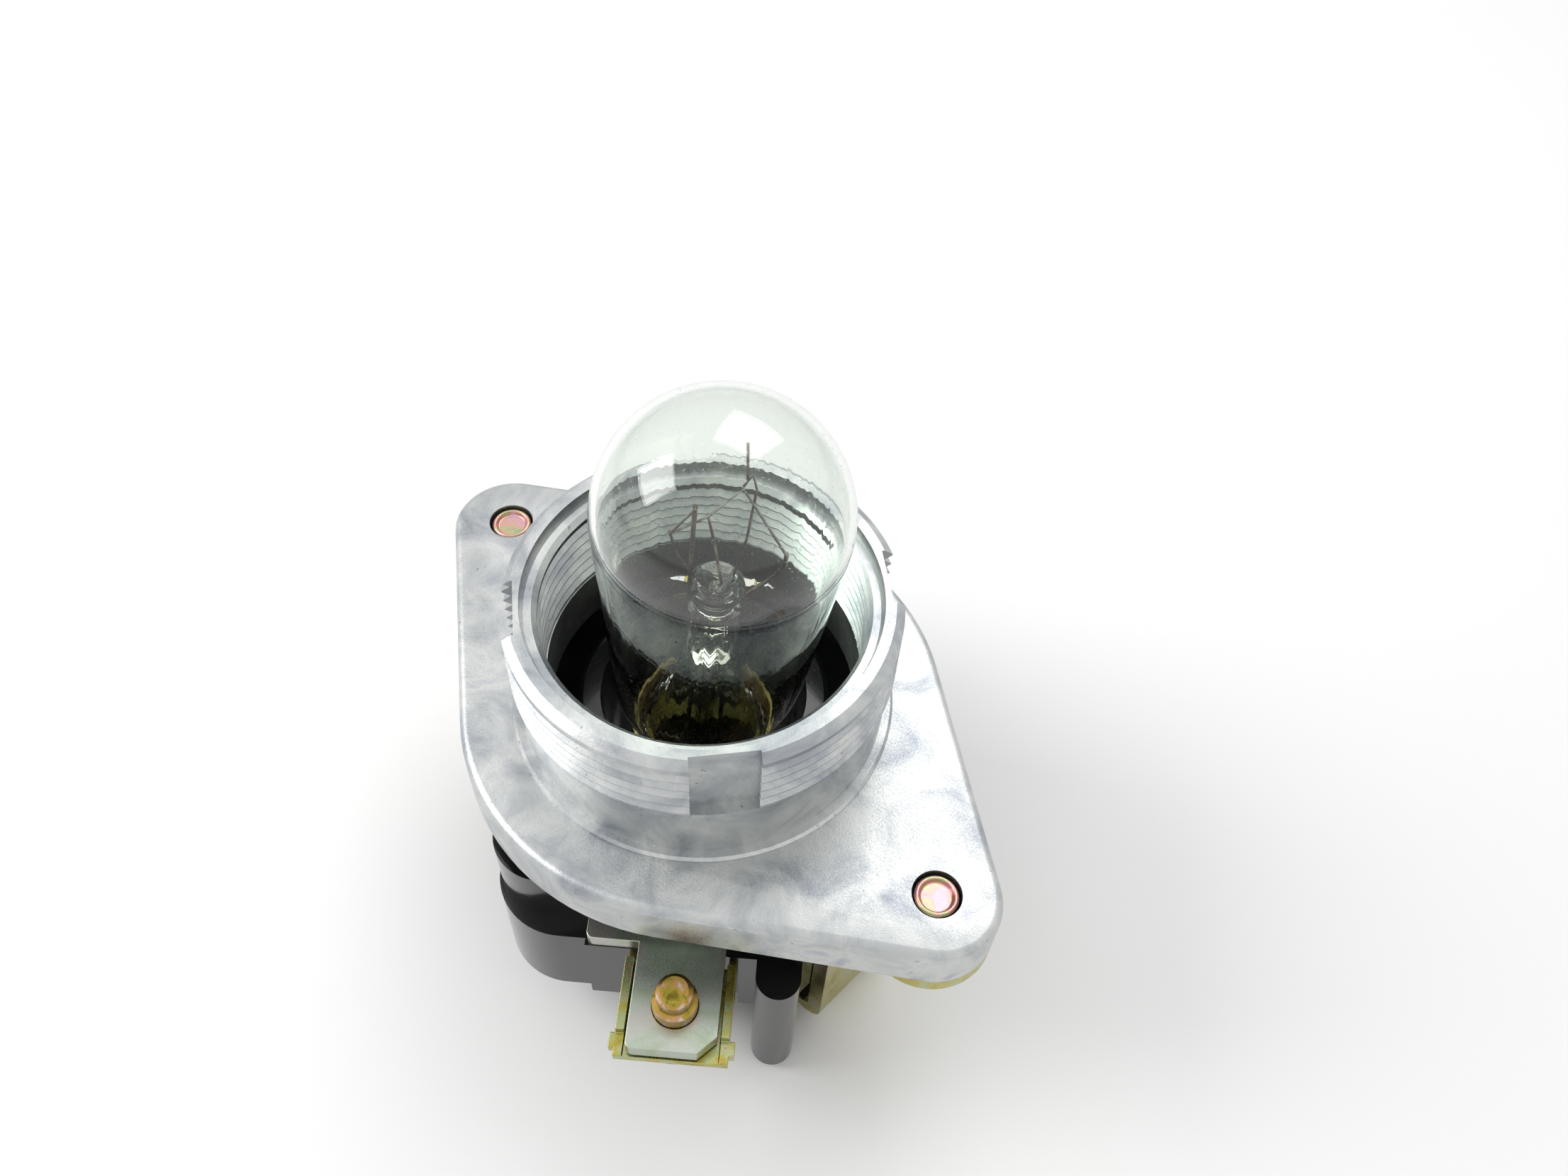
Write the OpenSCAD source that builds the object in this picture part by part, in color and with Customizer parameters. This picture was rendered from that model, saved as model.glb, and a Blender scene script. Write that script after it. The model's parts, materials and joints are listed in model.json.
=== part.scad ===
// Panel signal lamp fitting. A cast collar on a two-eared flange screws into a panel from behind.
// A riveted strap hangs the moulded lamp holder under it, with two saddle-clamp terminals and an E14 lamp.
// The origin is on the collar's axis, in the flange face that bears on the panel; +Z is the panel's front.

/* [Flange] */
// Length over the two ears
flange_length = 84; // [78:0.5:110]
// Diameter of the round middle of the flange
flange_width = 55; // [50:0.5:64]
// Radius of each ear
ear_radius = 7; // [5.5:0.25:10]
// Thickness of the flange
flange_thickness = 6; // [4:0.5:10]
// Radius of the flange's upper edge
flange_edge = 1; // [0.4:0.1:1.5]

/* [Collar] */
// Outer thread's diameter over its crests
collar_thread = 42; // [41.5:0.1:46]
// Diameter of the plain length under the thread
collar_plain = 40.8; // [40:0.1:41.2]
// Height of the rim above the flange
collar_height = 18.3; // [16:0.1:30]
// Height at which the outer thread starts
thread_start = 8.6; // [4:0.1:10]
// Core diameter of the inner thread
inner_thread = 34.38; // [33:0.02:35]
// Height at which the inner thread starts
inner_start = 6.5; // [3:0.1:9]
// Diameter of the smooth bore under the inner thread
collar_bore = 34.2; // [32:0.1:34.3]
// Diameter of the hollow under the flange
hollow_mouth = 42.8; // [38:0.1:46]
// Diameter of the counterbore at the rim
seat_mouth = 37.8; // [37.2:0.1:38.2]
// Diameter of the counterbore at its seat
seat_bottom = 37.1; // [36.8:0.05:37.15]
// Depth of the seat below the rim
seat_depth = 1.3; // [0.6:0.1:3]
// Width of the seat ring
seat_ring = 0.8; // [0.4:0.1:0.85]
// Width of the bead round the collar's foot
bead_width = 1.15; // [0.5:0.05:2]
// Height of the bead round the collar's foot
bead_height = 0.6; // [0.3:0.1:1.5]

/* [Key slots] */
// Number of slots across the outer thread
slot_count = 4; // [2:1:4]
// Width of a slot
slot_width = 7; // [3:0.25:8]
// Distance from the axis to a slot's flat back
slot_floor = 19.45; // [19.2:0.05:20.2]
// Height of the ledge at a slot's lower end
slot_ledge = 9; // [8.7:0.1:14]
// Direction of the first slot
slot_turn = -37.5; // [-90:0.5:90]

/* [Strap] */
// Thickness of the strap
strap_thickness = 2; // [1:0.1:2.5]
// Width of the strap's legs
strap_width = 13; // [10:0.5:13.5]
// Distance over the outside of the legs
strap_over_legs = 55.2; // [54:0.2:56]
// Distance from the flange's face to the foot of the strap
strap_drop = 38.8; // [38:0.2:48]
// Inner radius of the strap's bends
bend_radius = 1.2; // [0.6:0.1:2]
// Diameter of a rivet's shank
rivet_shank = 4.8; // [3:0.1:5]
// Diameter of a rivet's hole in the flange
rivet_hole = 5.35; // [5.2:0.05:6.5]
// Diameter of a rivet's lower head
rivet_head = 8; // [6.5:0.25:10]
// Height of a rivet's lower head
rivet_head_height = 1.6; // [1:0.1:2.4]

/* [Holder] */
// Direction of the holder's cross axis
holder_turn = 40.4; // [38:0.2:44]
// Outer diameter of the barrel inside the collar
barrel_outer = 28.6; // [26:0.2:30]
// Inner diameter of the barrel
barrel_inner = 23.5; // [22.4:0.1:24]
// Depth of the holder's shoulder under the flange's face
shoulder_depth = 8; // [7:0.25:10]
// Width of the holder's body
body_width = 44; // [41:0.5:46]
// Length of the upper tier
upper_length = 42.6; // [40:0.2:44]
// Depth of the ledge that carries the terminal plates
ledge_depth = 16; // [14.5:0.25:18]
// Length of the lower tier
lower_length = 48; // [46:0.2:49]
// Depth of the lower tier's underside
lower_depth = 29.5; // [27:0.25:31]
// Corner radius of the upper tier
upper_corner = 6; // [3:0.5:7]
// Corner radius of the lower tier
lower_corner = 8; // [4:0.5:9]
// Gap between the body and the sides of a leg
leg_gap = 3.3; // [0.5:0.1:4]
// Height of the pad behind each clamp over the end wall
pad_height = 0.8; // [0.4:0.1:1.5]
// Width of the rib beside each terminal
rib_width = 5.1; // [3:0.1:6]
// Distance from the terminal's line to the rib's near side
rib_offset = 8.6; // [7.5:0.1:10]
// Distance from the axis to a rib's round edge
rib_reach = 29.2; // [27:0.1:31]
// Depth of a rib's lower end
rib_depth = 37.5; // [33:0.25:38]
// Width of the core that stands on the strap
core_width = 22; // [18:0.5:26]
// Length of the core that stands on the strap
core_length = 32; // [30:0.5:36]

/* [Lamp socket] */
// Inner diameter of the screw shell
shell_inner = 14.04; // [14:0.02:14.1]
// Wall of the screw shell
shell_wall = 0.4; // [0.3:0.05:0.6]
// Depth of the screw shell's mouth
shell_top = 13; // [12.8:0.1:15]
// Depth of the screw shell's lower end
shell_bottom = 26; // [25.6:0.1:27]
// Depth of the floor under the centre contact
socket_floor = 32.3; // [32:0.1:34]
// Thickness of the contact leaf
leaf_thickness = 0.4; // [0.3:0.05:0.5]
// Width of the contact leaf
leaf_width = 5; // [3.5:0.25:5.5]
// Thickness of the strip that feeds the leaf
strip_thickness = 0.8; // [0.5:0.05:0.8]
// Distance from the axis to the strip's riser
strip_reach = 12.2; // [11.6:0.1:13]

/* [Terminals] */
// Width of a terminal plate
plate_width = 9.7; // [8:0.1:9.8]
// Thickness of a terminal plate
plate_thickness = 2; // [1.5:0.1:2.4]
// Distance from the clamp's wall to the terminal screw
screw_offset = 6.7; // [6.2:0.1:7.2]
// Distance from the screw to the plate's outer edge
plate_overhang = 5; // [4.2:0.1:8]
// Width of the tab beside the plate
tab_width = 6; // [3:0.25:8]
// Diameter of a terminal screw's thread
screw_thread = 5; // [4:0.1:5.2]
// Pitch of a terminal screw's thread
screw_pitch = 0.8; // [0.7:0.1:1]
// Diameter of a terminal screw's head
screw_head = 9; // [7.5:0.25:9.5]
// Height of a terminal screw's head
screw_head_height = 2.8; // [2:0.1:4]
// Length of screw thread above the plate
screw_rise = 2.3; // [1:0.1:4]
// Length of the screw's plain tip
screw_tip = 2.1; // [1:0.1:4]
// Thickness of a saddle clamp
clamp_thickness = 1; // [0.8:0.1:1.1]
// Clear width between the clamp's arms
clamp_opening = 10.4; // [10.2:0.1:10.8]
// Free height for the wire between clamp and plate
wire_gap = 0.4; // [0.35:0.05:1]

/* [Lamp] */
// Diameter of the bulb
bulb_diameter = 25.9; // [24:0.1:27]
// Height of the bulb's centre above the flange
bulb_centre = 30.2; // [26:0.1:40]
// Taper of the bulb's neck
neck_taper = 5.4; // [4:0.1:6]
// Height at which the neck starts to round in
neck_end = 3; // [2:0.25:6]
// Thickness of the bulb's glass
glass_wall = 0.7; // [0.5:0.05:1]
// Depth of the lamp cap's rim under the flange's face
cap_top = 4.2; // [3.8:0.1:4.6]
// Diameter of the lamp cap's skirt
cap_skirt = 17; // [16.8:0.05:17.2]
// Length of the lamp cap's skirt
skirt_length = 6.3; // [5:0.1:7]
// Diameter of the lamp cap over its thread crests
cap_thread = 13.88; // [13.8:0.02:13.9]
// Length of the lamp cap with its contact
cap_length = 25.3; // [25:0.1:26]
// Wall of the lamp cap
cap_wall = 0.35; // [0.3:0.05:0.5]
// Diameter of the lamp's solder contact
contact_diameter = 4.8; // [4:0.1:5.6]
// Height of the button that carries the supports
button_height = 20.7; // [19:0.1:24]
// Diameter of the button at its widest
button_diameter = 6.2; // [5:0.1:7]
// Lean of the glass in its cap
glass_lean = 3.1; // [0:0.1:3.5]
// Diameter of the lamp's wires
wire_diameter = 0.5; // [0.4:0.05:0.7]
// Diameter of the coiled filament
filament_diameter = 0.3; // [0.25:0.05:0.4]
// Direction in which the longer lead lies and the glass leans
lamp_turn = 46.9; // [0:0.5:90]

/* [Hidden] */
$fn = 72;

// overlap that keeps joined solids from meeting in a bare face
eps = 0.05;
// running gap between parts that slide past each other, and the side play of a strap
slide_gap = 0.2;
side_play = 0.1;

cast_metal = [0.74, 0.76, 0.79];
phenolic = [0.05, 0.05, 0.055];
passivated = [0.78, 0.66, 0.42];
tinned_plate = [0.66, 0.67, 0.68];
brass = [0.80, 0.66, 0.36];
bronze = [0.72, 0.50, 0.30];
clear_glass = [0.85, 0.93, 0.92, 0.35];
nickel = [0.70, 0.69, 0.66];
cement_brown = [0.45, 0.30, 0.20];

// flange
mid_radius = flange_width / 2;
ear_centre = flange_length / 2 - ear_radius;
tangent_turn = acos((mid_radius - ear_radius) / ear_centre);
arc_steps = 18;
edge_steps = 4;

// collar
crest_radius = collar_thread / 2;
plain_radius = collar_plain / 2;
bore_radius = collar_bore / 2;
inner_radius = inner_thread / 2;
rim_chamfer = [0.95, 0.7];
seat_height = collar_height - seat_depth;
seat_inner = seat_bottom / 2 - seat_ring;
seat_lead_in = seat_inner - inner_radius;

// strap
leg_outer = strap_over_legs / 2;
leg_inner = leg_outer - strap_thickness;
ear_bottom = -flange_thickness - strap_thickness;
foot_top = -strap_drop + strap_thickness;
rivet_at = ear_centre;
rivet_bore = rivet_shank + 0.1;
rivet_sink = 0.25;
rivet_dish = 0.5;

// holder
core_bottom = foot_top;
core_corner = 5;
rib_radius = rib_width / 2;
body_limit = leg_inner - side_play;
pad_face = lower_length / 2 + pad_height;
screw_reach = pad_face + screw_offset;
plate_reach = screw_reach + plate_overhang;
screw_spot = 8;
body_screw_shank = 3;
body_screw_head = 5.6;
body_screw_depth = 3.4;

// socket
shell_outer = shell_inner / 2 + shell_wall;
chamber_radius = shell_outer - 1.2;
leaf_pivot = 7;
leaf_root = 10.5;
leaf_tip = -3;
leaf_rivet_at = 9;
leaf_rivet_radius = 1;
leaf_lift = 1.2;
leaf_run = 4.5;
pocket_half = leaf_width / 2 + 0.5;
pocket_top = 3.7;
strip_top = -socket_floor + strip_thickness;
leaf_bottom = strip_top + 0.1;
leaf_swing = 0.4;

// terminals
plate_bottom = -ledge_depth;
plate_top = plate_bottom + plate_thickness;
plate_middle = 0.25;
tab_reach = pad_face - 0.1;
front_plate_end = shell_outer - 1.5;
web_top = plate_bottom - wire_gap;
web_bottom = web_top - clamp_thickness;
arm_inner = clamp_opening / 2;
arm_outer = arm_inner + clamp_thickness;
arm_top = plate_top - 1;
arm_back = pad_face + 1.2;
arm_front = screw_reach + 2.7;
clamp_front_edge = plate_reach + 0.15;
guide_width = clamp_thickness + 2 * slide_gap;
guide_depth = 1.2;
guide_top = web_bottom - 0.6;
tongue_top = guide_top - wire_gap - slide_gap;
tongue_height = 2.8;
tongue_back = pad_face - guide_depth + slide_gap;
screw_bore = screw_thread + 0.1;
head_top = web_bottom - 0.05;
thread_top = plate_top + screw_rise;

// lamp
bulb_radius = bulb_diameter / 2;
neck_join_height = bulb_centre - bulb_radius * sin(neck_taper);
neck_join_radius = bulb_radius * cos(neck_taper);
neck_radius = neck_join_radius - (neck_join_height - neck_end) * tan(neck_taper);
skirt_radius = cap_skirt / 2;
skirt_inner = skirt_radius - cap_wall;
cap_radius = cap_thread / 2;
cap_inner = cap_radius - cap_wall;
seal_radius = skirt_inner - 0.6;
skirt_bottom = -cap_top - skirt_length;
thread_shoulder = skirt_bottom - 1.6;
contact_height = 1.5;
contact_bottom = -cap_top - cap_length;
insulator_bottom = contact_bottom + contact_height;
insulator_drop = 2.6;
cap_bottom = insulator_bottom + insulator_drop;
seal_foot = -cap_top - 1.6;
shoulder_steps = 8;
cement_bottom = seal_foot - 2.4;
cement_inner = seal_radius - 0.45;
lead_spread = 1.6;
button_face = button_diameter / 3;
button_waist = button_height - 1.8;
button_foot = button_height - 3.3;
pinch_top = button_height - 5.7;
pinch_bottom = pinch_top - 7;
pinch_width = 5.8;
pinch_depth = 3.4;
rod_radius = 2.1;
flare_wall = 0.8;
tube_radius = 0.9;
tube_bore = 0.5;
tube_top = pinch_bottom;
tube_foot = cap_bottom + 3;
wire_radius = wire_diameter / 2;
support_radius = wire_radius - 0.1;
wire_sides = 8;

// Closed solid through a list of rings, each ring anticlockwise seen from the end.
module loft(rings) {
    count = len(rings[0]);
    last = len(rings) - 1;
    sides = [for (i = [0 : last - 1], k = [0 : count - 1])
        let (a = i * count + k, b = i * count + (k + 1) % count)
        each [[a, a + count, b + count], [a, b + count, b]]];
    near = [for (k = [0 : count - 1]) k];
    far = [for (k = [0 : count - 1]) (last + 1) * count - 1 - k];
    polyhedron([for (ring = rings) each ring], concat(sides, [near, far]));
}

function arc_points(centre, radius, from, to) =
    [for (i = [0 : arc_steps])
        let (a = from + (to - from) * i / arc_steps) centre + radius * [cos(a), sin(a)]];

// Outline of the flange: two ears and a round middle, joined by their common tangents.
function flange_outline(inset) = concat(
    arc_points([ear_centre, 0], ear_radius - inset, -tangent_turn, tangent_turn),
    arc_points([0, 0], mid_radius - inset, tangent_turn, 180 - tangent_turn),
    arc_points([-ear_centre, 0], ear_radius - inset, 180 - tangent_turn, 180 + tangent_turn),
    arc_points([0, 0], mid_radius - inset, 180 + tangent_turn, 360 - tangent_turn)
);

// The flange: upright walls, then a rounded upper edge drawn in by `x` at the height `y`.
module flange_plate() {
    levels = concat([[0, -flange_thickness]], [for (i = [0 : edge_steps])
        let (a = 90 * i / edge_steps) flange_edge * [1 - cos(a), sin(a) - 1]]);
    loft([for (level = levels) [for (p = flange_outline(level.x)) [p.x, p.y, level.y]]]);
}

// Outside of the collar, from inside the flange to the rim.
module collar_section() {
    foot = plain_radius + bead_width;
    polygon([
        [bore_radius - 2, -flange_thickness / 2], [foot, -flange_thickness / 2],
        [foot, bead_height / 2], [foot - bead_height / 2, bead_height], [plain_radius, bead_height],
        [plain_radius, thread_start], [crest_radius, thread_start + crest_radius - plain_radius],
        [crest_radius, collar_height - rim_chamfer.y], [crest_radius - rim_chamfer.x, collar_height],
        [bore_radius - 2, collar_height]
    ]);
}

// Everything that is hollow round the collar's axis, from under the flange to the rim.
module bore_section() {
    past = 1;
    polygon([
        [0, -flange_thickness - past], [hollow_mouth / 2, -flange_thickness - past],
        [hollow_mouth / 2, -flange_thickness], [bore_radius, 0], [bore_radius, inner_start],
        [inner_radius, inner_start], [inner_radius, seat_height - seat_lead_in],
        [seat_inner, seat_height], [seat_bottom / 2, seat_height],
        [seat_mouth / 2, collar_height], [seat_mouth / 2, collar_height + past], [0, collar_height + past]
    ]);
}

module key_slots() {
    for (k = [0 : slot_count - 1]) rotate([0, 0, slot_turn + k * 360 / slot_count])
        translate([slot_floor, -slot_width / 2, slot_ledge])
            cube([crest_radius, slot_width, collar_height]);
}

module flange_collar() {
    color(cast_metal) difference() {
        union() {
            flange_plate();
            rotate_extrude($fn = 144) collar_section();
        }
        rotate_extrude($fn = 144) bore_section();
        key_slots();
        for (side = [-1, 1]) translate([side * rivet_at, 0, -flange_thickness - 1])
            cylinder(d = rivet_hole, h = flange_thickness + 2);
    }
}

// A tubular rivet: its set rim stands round a dish, just under the flange's face.
module rivets() {
    shank = rivet_shank / 2;
    head_seat = ear_bottom;
    color(passivated) for (side = [-1, 1]) translate([side * rivet_at, 0, 0]) rotate_extrude($fn = 48)
        polygon([
            [0, head_seat - rivet_head_height], [rivet_head / 4, head_seat - rivet_head_height],
            [rivet_head / 2, head_seat - rivet_head_height / 3], [rivet_head / 2, head_seat],
            [shank, head_seat], [shank, -2 * rivet_sink], [shank - rivet_sink, -rivet_sink],
            [shank - 2 * rivet_sink, -rivet_sink], [shank - 3 * rivet_sink, -rivet_sink - rivet_dish],
            [0, -rivet_sink - rivet_dish]
        ]);
}

// A quarter of a bend in the strap, turned so that it covers the quadrant `quarter`.
module strap_bend(quarter, at) {
    outer = bend_radius + strap_thickness;
    translate(at) rotate(quarter * 90) intersection() {
        difference() {
            circle(outer, $fn = 48);
            circle(bend_radius, $fn = 48);
        }
        square(outer);
    }
}

// Half of the strap, in section: ear, upper bend, leg, lower bend and foot.
module strap_half() {
    outer = bend_radius + strap_thickness;
    upper = [leg_outer + bend_radius, ear_bottom - bend_radius];
    lower = [leg_inner - bend_radius, foot_top + bend_radius];
    translate([upper.x, ear_bottom]) square([rivet_at - upper.x, strap_thickness]);
    strap_bend(1, upper);
    translate([leg_inner, lower.y]) square([strap_thickness, upper.y - lower.y]);
    strap_bend(3, lower);
    translate([0, -strap_drop]) square([lower.x, strap_thickness]);
}

module bracket() {
    color(passivated) difference() {
        union() {
            for (side = [0, 1]) mirror([side, 0, 0]) {
                translate([0, strap_width / 2, 0]) rotate([90, 0, 0])
                    linear_extrude(strap_width) strap_half();
                translate([rivet_at, 0, ear_bottom]) cylinder(r = ear_radius, h = strap_thickness);
            }
        }
        for (side = [-1, 1]) translate([side * rivet_at, 0, ear_bottom - 1])
            cylinder(d = rivet_bore, h = strap_thickness + 2);
        for (side = [-1, 1]) translate([side * screw_spot, 0, -strap_drop]) body_screw_form(side_play);
    }
}

// Countersunk screw, from the strap's underside upwards; `ease` widens it into its hole.
module body_screw_form(ease) {
    head = body_screw_head / 2;
    shank = body_screw_shank / 2;
    rotate_extrude($fn = 32) polygon([
        [0, -ease], [head + ease, -ease], [head + ease, 0], [shank + ease, head - shank],
        [shank + ease, strap_thickness + ease], [0, strap_thickness + ease]
    ]);
}

module body_screws() {
    shank = body_screw_shank / 2;
    color(passivated) for (side = [-1, 1]) translate([side * screw_spot, 0, -strap_drop]) difference() {
        union() {
            body_screw_form(0);
            cylinder(r = shank, h = strap_thickness + body_screw_depth, $fn = 32);
        }
        translate([-body_screw_head / 2, -0.4, -1]) cube([body_screw_head, 0.8, 1.7]);
    }
}

// Block with round upright corners, centred on the axis, between two depths.
module tier(width, length, corner, top, bottom) {
    translate([0, 0, bottom]) linear_extrude(top - bottom) {
        square([width, length - 2 * corner], center = true);
        square([width - 2 * corner, length], center = true);
        for (x = [-1, 1], y = [-1, 1]) translate([x * (width / 2 - corner), y * (length / 2 - corner)])
            circle(corner, $fn = 64);
    }
}

// What stands out of the end wall at one terminal: a flat pad and the upright rib beside it.
module end_wall() {
    rib_middle = rib_offset + rib_radius;
    translate([-tab_width - plate_width / 2, -pad_face, -lower_depth])
        cube([tab_width + plate_width / 2 + rib_middle, pad_height + 1, lower_depth - ledge_depth]);
    rib_height = rib_depth - ledge_depth;
    translate([rib_middle, -rib_reach + rib_radius, -rib_depth]) {
        cylinder(r = rib_radius, h = rib_height, $fn = 48);
        translate([-rib_radius, 0, 0])
            cube([rib_width, rib_reach - rib_radius - core_length / 2, rib_height]);
    }
}

// Room for one leg of the strap in the corner of the body.
module leg_recess() {
    half = strap_width / 2 + leg_gap;
    translate([body_limit, -half, -strap_drop]) cube([body_width, 2 * half, strap_drop]);
}

// Room for the foot of the strap between the ribs.
module foot_recess() {
    half = strap_width / 2 + leg_gap;
    translate([-body_width, -half, -strap_drop]) cube([2 * body_width, 2 * half, strap_thickness]);
}

// Upright grooves with round tops that guide one clamp's tongues.
module clamp_guides() {
    arch = guide_top - guide_width / 2;
    for (side = [-1, 1]) translate([plate_middle + side * (arm_inner + clamp_thickness / 2), 0, 0]) {
        translate([-guide_width / 2, -pad_face - 1, -lower_depth - 1])
            cube([guide_width, guide_depth + 1, arch + lower_depth + 1]);
        translate([0, -pad_face + guide_depth, arch]) rotate([90, 0, 0])
            cylinder(d = guide_width, h = guide_depth + 1, $fn = 24);
    }
}

module plate_slot() {
    translate([plate_middle - plate_width / 2, -pad_face - 1, plate_bottom])
        cube([plate_width, pad_face + 1 - front_plate_end, plate_thickness]);
}

// Hollow of the socket: barrel bore, seat of the shell, chamber of the centre contact.
module socket_section() {
    past = 1;
    polygon([
        [0, -socket_floor], [chamber_radius, -socket_floor], [chamber_radius, -shell_bottom],
        [shell_outer, -shell_bottom], [shell_outer, -shell_top], [barrel_inner / 2, -shell_top],
        [barrel_inner / 2, past], [0, past]
    ]);
}

module contact_pocket() {
    translate([-pocket_half, 0, -socket_floor]) cube([2 * pocket_half, strip_reach, pocket_top]);
    translate([-pocket_half, strip_reach - strip_thickness, -socket_floor])
        cube([2 * pocket_half, strip_thickness, socket_floor - ledge_depth + eps]);
    translate([0, leaf_rivet_at, -socket_floor - 1.6]) cylinder(r = leaf_rivet_radius, h = 2, $fn = 24);
}

module holder_body() {
    lip = 0.6;
    color(phenolic) difference() {
        union() {
            rotate_extrude($fn = 96) polygon([
                [barrel_inner / 2 - 1, -shoulder_depth - 1], [barrel_outer / 2, -shoulder_depth - 1],
                [barrel_outer / 2, -lip], [barrel_outer / 2 - lip, 0], [barrel_inner / 2 - 1, 0]
            ]);
            rotate([0, 0, holder_turn]) {
                tier(body_width, upper_length, upper_corner, -shoulder_depth, -ledge_depth - eps);
                tier(body_width, lower_length, lower_corner, -ledge_depth, -lower_depth);
                tier(core_width, core_length, core_corner, -lower_depth + eps, core_bottom);
                for (end = [0, 180]) rotate([0, 0, end]) end_wall();
            }
        }
        for (side = [0, 180]) rotate([0, 0, side]) leg_recess();
        foot_recess();
        rotate_extrude($fn = 96) socket_section();
        rotate([0, 0, holder_turn]) {
            contact_pocket();
            for (end = [0, 180]) rotate([0, 0, end]) {
                clamp_guides();
                plate_slot();
            }
        }
        for (side = [-1, 1]) translate([side * screw_spot, 0, core_bottom - 1])
            cylinder(d = body_screw_shank, h = body_screw_depth + 1, $fn = 32);
    }
}

module screw_shell() {
    color(brass) translate([0, 0, -shell_bottom]) difference() {
        cylinder(r = shell_outer, h = shell_bottom - shell_top, $fn = 96);
        translate([0, 0, -1]) cylinder(d = shell_inner, h = shell_bottom - shell_top + 2, $fn = 96);
    }
}

// Strip from the rear plate down to the pocket's floor, where the leaf is riveted on it.
module contact_strip() {
    width = leaf_width;
    color(tinned_plate) rotate([0, 0, holder_turn]) difference() {
        union() {
            translate([-width / 2, leaf_pivot, -socket_floor])
                cube([width, strip_reach - leaf_pivot, strip_thickness]);
            translate([-width / 2, strip_reach - strip_thickness, -socket_floor])
                cube([width, strip_thickness, socket_floor - ledge_depth]);
        }
        translate([0, leaf_rivet_at, -socket_floor - 1])
            cylinder(r = leaf_rivet_radius, h = strip_thickness + 2, $fn = 24);
    }
}

module contact_rivet() {
    head_bottom = leaf_bottom + leaf_thickness + leaf_swing;
    color(brass) rotate([0, 0, holder_turn]) translate([0, leaf_rivet_at, 0]) {
        translate([0, 0, -socket_floor - 1.6])
            cylinder(r = leaf_rivet_radius, h = head_bottom + socket_floor + 1.6 + eps, $fn = 24);
        translate([0, 0, head_bottom]) cylinder(r1 = 1.9, r2 = 1.3, h = 0.8, $fn = 24);
    }
}

// Spring leaf: a flat root on the strip, a rise, and a flat under the lamp's contact.
module contact_leaf() {
    rise = leaf_bottom + leaf_lift;
    rise_end = leaf_pivot - leaf_run;
    color(bronze) rotate([0, 0, holder_turn]) difference() {
        translate([-leaf_width / 2, 0, 0]) rotate([90, 0, 90]) linear_extrude(leaf_width) polygon([
            [leaf_root, leaf_bottom], [leaf_root, leaf_bottom + leaf_thickness],
            [leaf_pivot, leaf_bottom + leaf_thickness], [rise_end, rise + leaf_thickness],
            [leaf_tip, rise + leaf_thickness], [leaf_tip, rise], [rise_end, rise], [leaf_pivot, leaf_bottom]
        ]);
        translate([0, leaf_rivet_at, leaf_bottom - 1])
            cylinder(r = leaf_rivet_radius + 0.3, h = leaf_thickness + 2, $fn = 24);
    }
}

// Outline of a terminal plate, from its outer edge to `inner_end`, with the tab on its left.
module plate_outline(inner_end) {
    half = plate_width / 2;
    nib = 0.8;
    cut = 2;
    translate([plate_middle, 0]) {
        polygon([
            [-half + nib, -plate_reach], [half - cut, -plate_reach], [half, -plate_reach + cut],
            [half, -inner_end], [-half, -inner_end], [-half, -upper_length / 2],
            [-half - tab_width, -upper_length / 2], [-half - tab_width, -tab_reach + nib],
            [-half - tab_width + nib, -tab_reach], [-half, -tab_reach], [-half, -plate_reach + nib]
        ]);
        translate([-half + nib, -plate_reach + nib]) circle(nib, $fn = 32);
        translate([-half - tab_width + nib, -tab_reach + nib]) circle(nib, $fn = 32);
    }
}

module terminal_plate(inner_end) {
    color(tinned_plate) difference() {
        translate([0, 0, plate_bottom]) linear_extrude(plate_thickness) plate_outline(inner_end);
        translate([plate_middle, -screw_reach, plate_bottom - 1])
            cylinder(d = screw_bore, h = plate_thickness + 2, $fn = 48);
        translate([0, 0, plate_bottom - 1]) cylinder(r = shell_outer, h = plate_thickness + 2, $fn = 96);
    }
}

// The front plate reaches the screw shell; the rear one stops over the strip.
module terminal_plate_front() {
    rotate([0, 0, holder_turn]) terminal_plate(front_plate_end);
}

module terminal_plate_rear() {
    rotate([0, 0, holder_turn + 180]) terminal_plate(strip_reach - strip_thickness);
}

// Saddle clamp: a web under the plate, an arm up each side of it and a tongue in each guide.
module saddle_clamp() {
    step_top = plate_bottom;
    tail = 2.5;
    ear = [0.6, 1.6];
    tongue_bottom = tongue_top - tongue_height;
    color(passivated) translate([plate_middle, 0, 0]) difference() {
        union() {
            translate([-arm_outer, -clamp_front_edge, web_bottom])
                cube([2 * arm_outer, clamp_front_edge - arm_back, clamp_thickness]);
            for (side = [0, 1]) mirror([side, 0, 0]) {
                translate([arm_inner, -arm_front, web_bottom])
                    cube([clamp_thickness, arm_front - arm_back, arm_top - web_bottom]);
                translate([arm_inner, -clamp_front_edge, web_bottom])
                    cube([clamp_thickness, clamp_front_edge - arm_back, step_top - web_bottom]);
                translate([arm_inner, -arm_back - tail, tongue_bottom])
                    cube([clamp_thickness, tail, web_top - tongue_bottom]);
                translate([arm_inner, -arm_back - eps, tongue_bottom])
                    cube([clamp_thickness, arm_back + eps - tongue_back, tongue_height]);
                translate([arm_outer - eps, -arm_front - ear.y, web_bottom])
                    cube([ear.x + eps, ear.y, step_top - web_bottom]);
            }
        }
        translate([0, -screw_reach, web_bottom - 1])
            cylinder(d = screw_thread + 2 * slide_gap, h = clamp_thickness + 2, $fn = 48);
    }
}

module clamp_front() {
    rotate([0, 0, holder_turn]) saddle_clamp();
}

module clamp_rear() {
    rotate([0, 0, holder_turn + 180]) saddle_clamp();
}

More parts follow.
